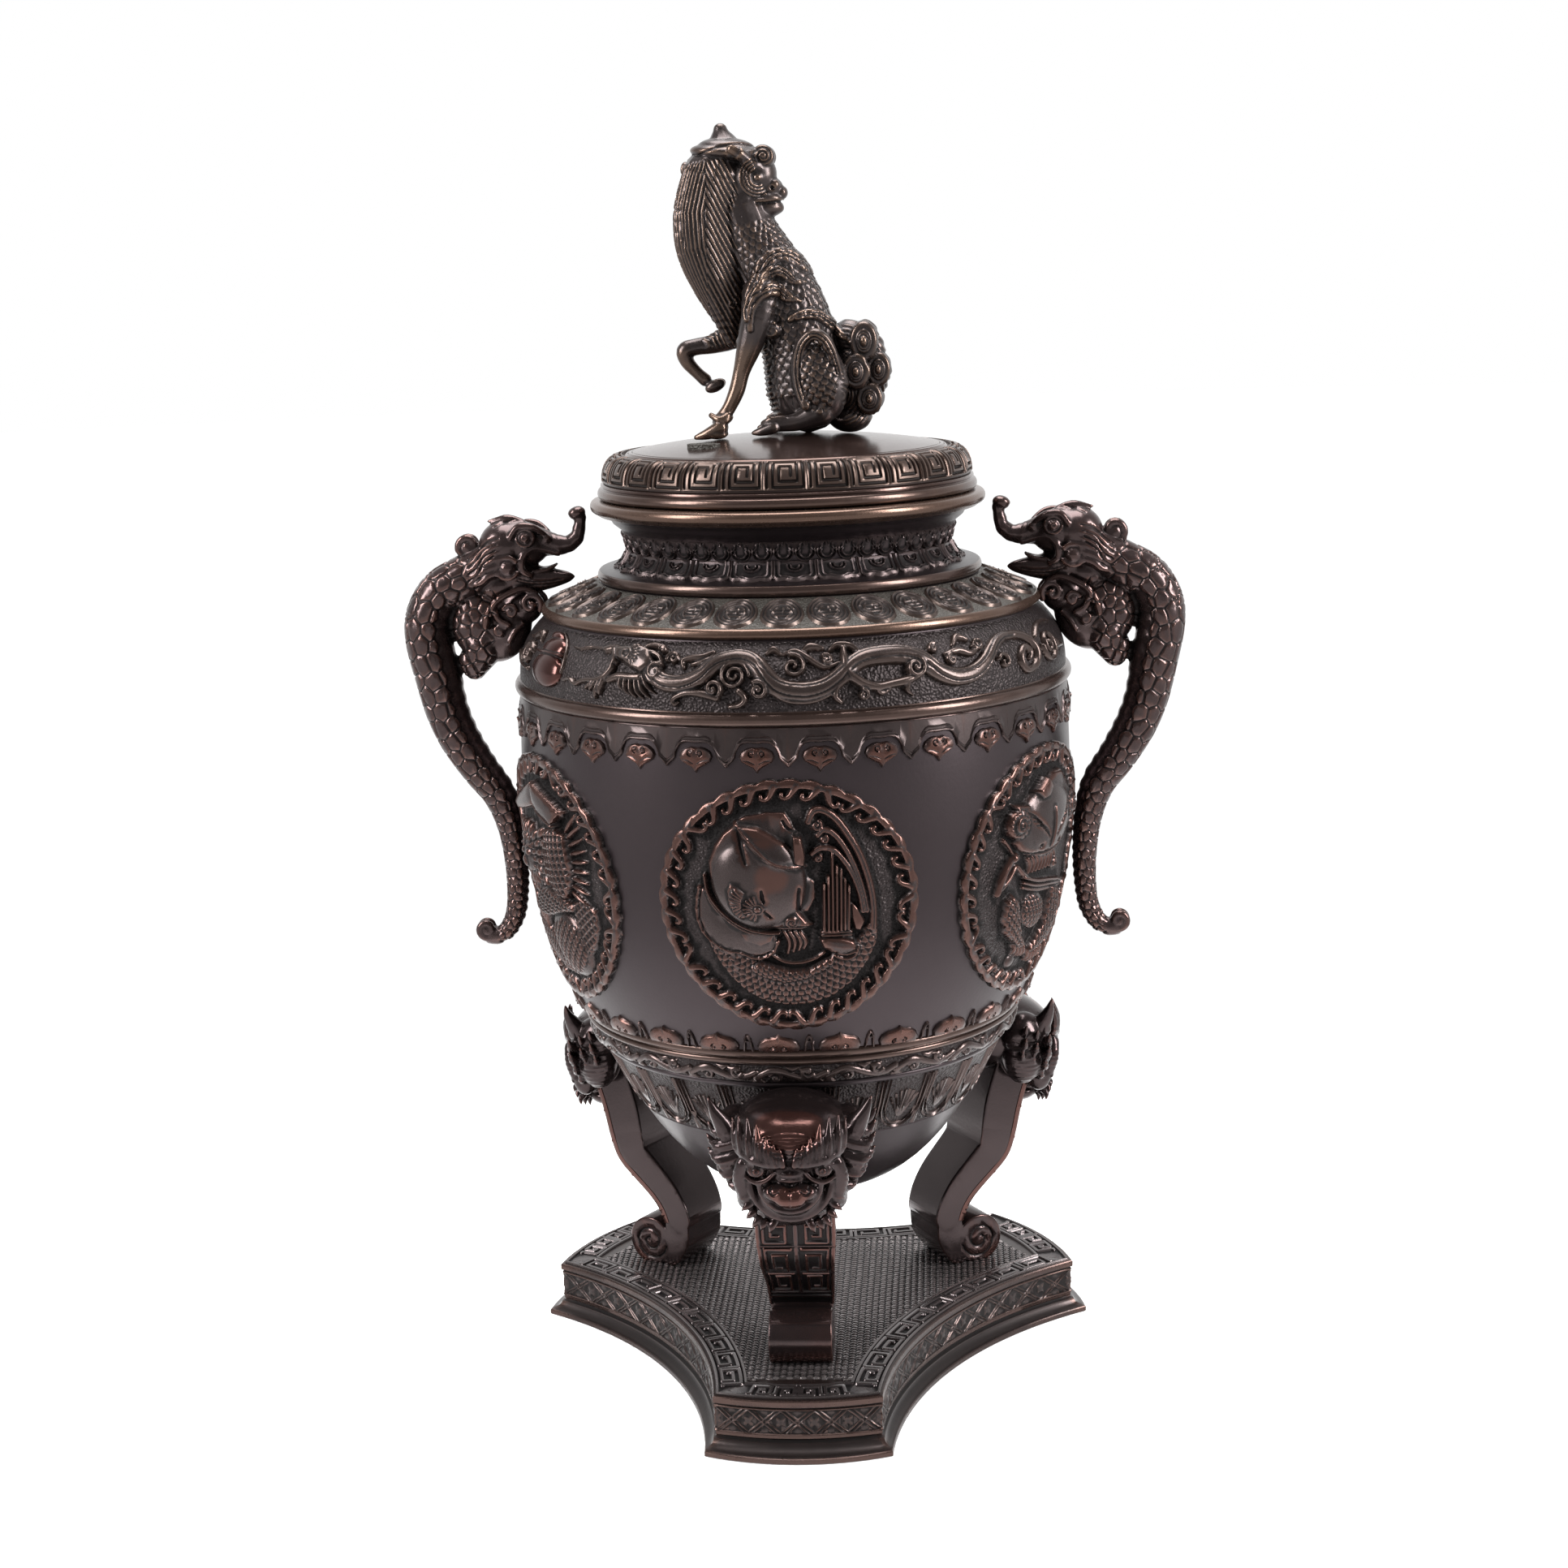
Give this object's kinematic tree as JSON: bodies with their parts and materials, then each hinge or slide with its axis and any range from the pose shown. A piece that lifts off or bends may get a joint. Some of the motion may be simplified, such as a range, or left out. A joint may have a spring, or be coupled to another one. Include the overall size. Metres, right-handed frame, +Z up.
{
  "type": "bronze incense burner",
  "caption": "Lidded bronze incense burner: a hollow jar with beast handles on masked legs and a three-sided plinth, a seated beast on its lid.",
  "frame": {"origin": "centre of the plinth's underside, on the jar's axis", "axes": "+Z up along the jar's axis, -Y towards the front leg and the front medallion, +X towards the right-hand handle"},
  "size_m": [0.2692, 0.2005, 0.4303],
  "materials": {
    "plinth_bronze": "dark brown patinated bronze, satin",
    "vessel_bronze": "dark brown patinated bronze, polished belly with chased relief",
    "leg_bronze": "dark patinated bronze, glossy, worn reddish on the raised parts",
    "handle_bronze": "dark patinated bronze, scaled, worn reddish on the raised parts",
    "lid_bronze": "polished reddish brown bronze with a chased key fret",
    "kirin_bronze": "dark patinated bronze, worn golden brown on the front legs"
  },
  "bodies": {
    "root": {"plinth": "plinth_bronze", "vessel": "vessel_bronze", "leg_front": "leg_bronze", "leg_back_right": "leg_bronze", "leg_back_left": "leg_bronze", "handle_right": "handle_bronze", "handle_left": "handle_bronze", "lid": "lid_bronze", "kirin": "kirin_bronze"}
  },
  "joints": []
}
